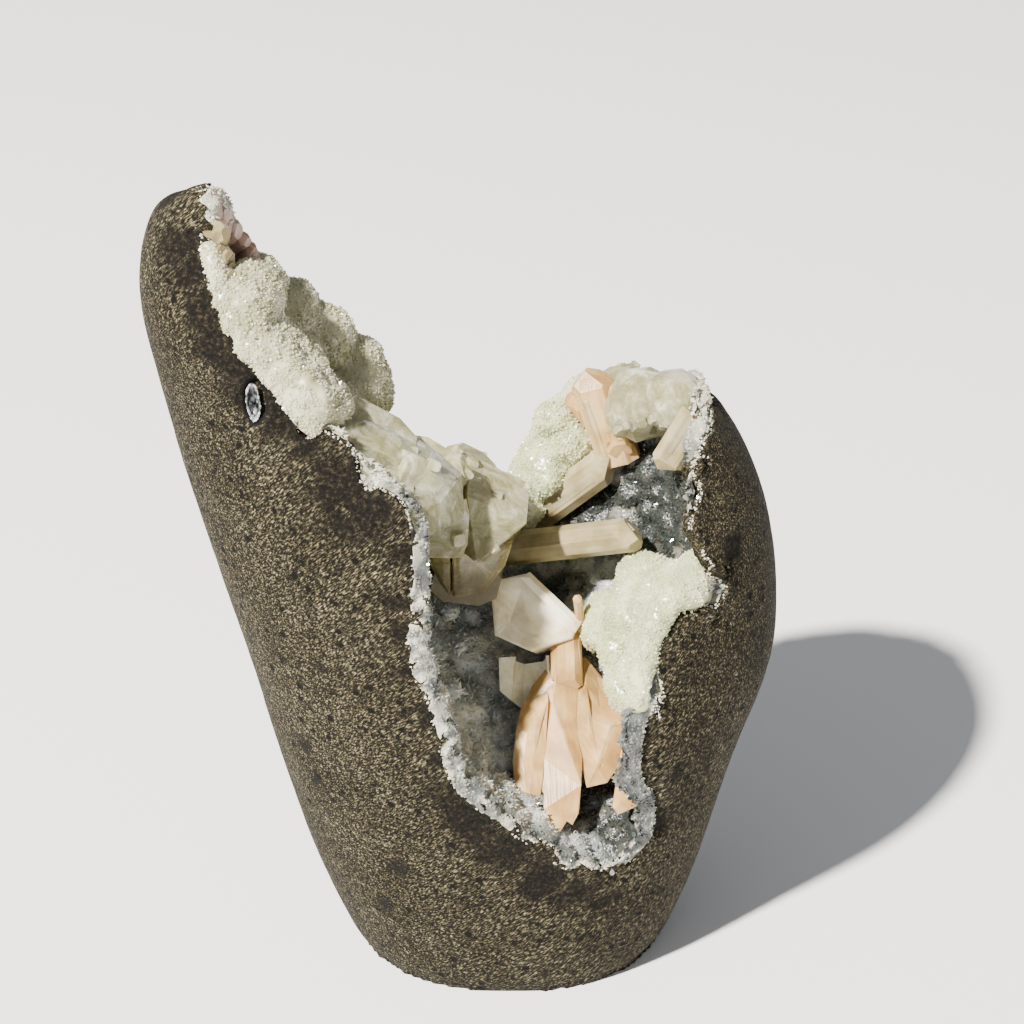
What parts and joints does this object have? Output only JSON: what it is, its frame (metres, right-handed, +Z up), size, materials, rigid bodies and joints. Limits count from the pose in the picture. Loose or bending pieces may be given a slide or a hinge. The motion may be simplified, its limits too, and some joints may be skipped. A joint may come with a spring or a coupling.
{
  "type": "prehnite specimen",
  "caption": "Upright ground basalt freeform on a flat cut base, its open hollow lined with druzy crust and grown with prehnite, apophyllite and stilbite crystals, for display.",
  "frame": {"origin": "on the flat cut base, under the middle of the stone's foot", "axes": "+Z up; the hollow faces -Y; the tall horn is at -X and the lower shoulder at +X"},
  "size_m": [0.1119, 0.0754, 0.15],
  "materials": {
    "basalt": "ground matte, finely scratched, with dark pits",
    "chalcedony": "druzy, blue-grey, sparkling",
    "pale_chalcedony": "pale, fine druzy",
    "prehnite": "druzy, pale green, waxy and translucent",
    "apophyllite": "glassy, honey and pale green, translucent",
    "stilbite": "pearly, peach, finely striated"
  },
  "bodies": {
    "root": {"basalt_matrix": "basalt", "chalcedony_crust": "chalcedony", "vesicle_lining": "pale_chalcedony", "prehnite_horn": "prehnite", "prehnite_wall": "prehnite", "prehnite_mound": "prehnite", "apophyllite_cluster": "apophyllite", "apophyllite_plate": "apophyllite", "apophyllite_shoulder": "apophyllite", "stilbite_sheaf": "stilbite", "stilbite_rod": "stilbite", "stilbite_blade": "stilbite", "stilbite_crest": "stilbite", "stilbite_hanger": "stilbite", "stilbite_stub": "stilbite", "stilbite_tip": "stilbite"}
  },
  "joints": []
}
